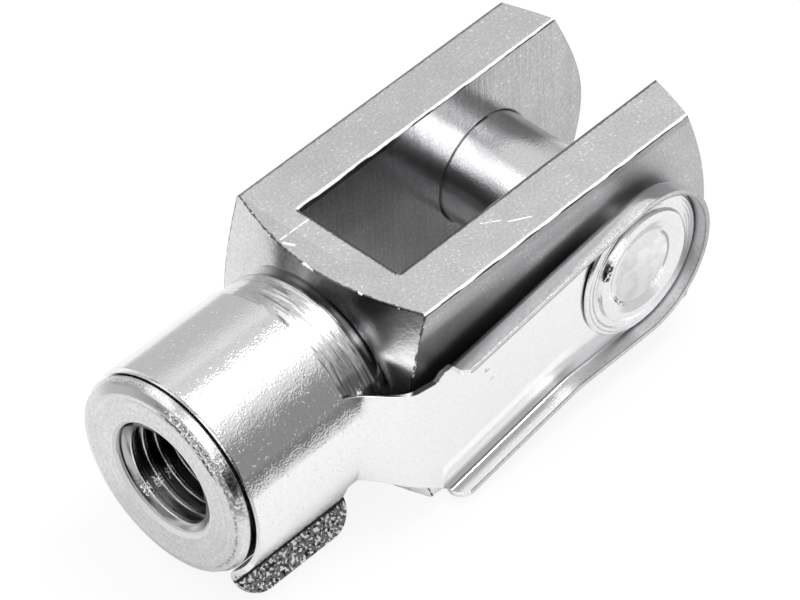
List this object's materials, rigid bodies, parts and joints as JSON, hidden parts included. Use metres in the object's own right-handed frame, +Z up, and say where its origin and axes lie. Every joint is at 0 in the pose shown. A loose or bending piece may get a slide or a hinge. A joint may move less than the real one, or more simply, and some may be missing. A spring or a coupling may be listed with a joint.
{
  "type": "clevis rod end",
  "caption": "Square fork head with a threaded round shank, a cross pin and a pressed spring clip that snaps over the shank.",
  "frame": {"origin": "where the cross pin's axis meets the axis of the threaded shank", "axes": "+X along the shank's axis towards the fork's tips, +Y along the pin away from the clip's arm and the pin's riveted head, +Z up, square to both"},
  "size_m": [0.0533, 0.0232, 0.02],
  "materials": {
    "fork_steel": "bright plated, finely speckled satin",
    "pin_steel": "bright plated, turned",
    "clip_steel": "bright plated spring sheet, smooth"
  },
  "bodies": {
    "fork": {"fork_body": "fork_steel"},
    "clip": {"spring_clip": "clip_steel", "clevis_pin": "pin_steel"}
  },
  "joints": [
    {"name": "clip_swing", "type": "hinge", "parent": "fork", "child": "clip", "pos_m": [0, 0, 0], "axis": [0, 1, 0], "range_deg": [0, 325], "deforming": ["spring_clip"]}
  ]
}
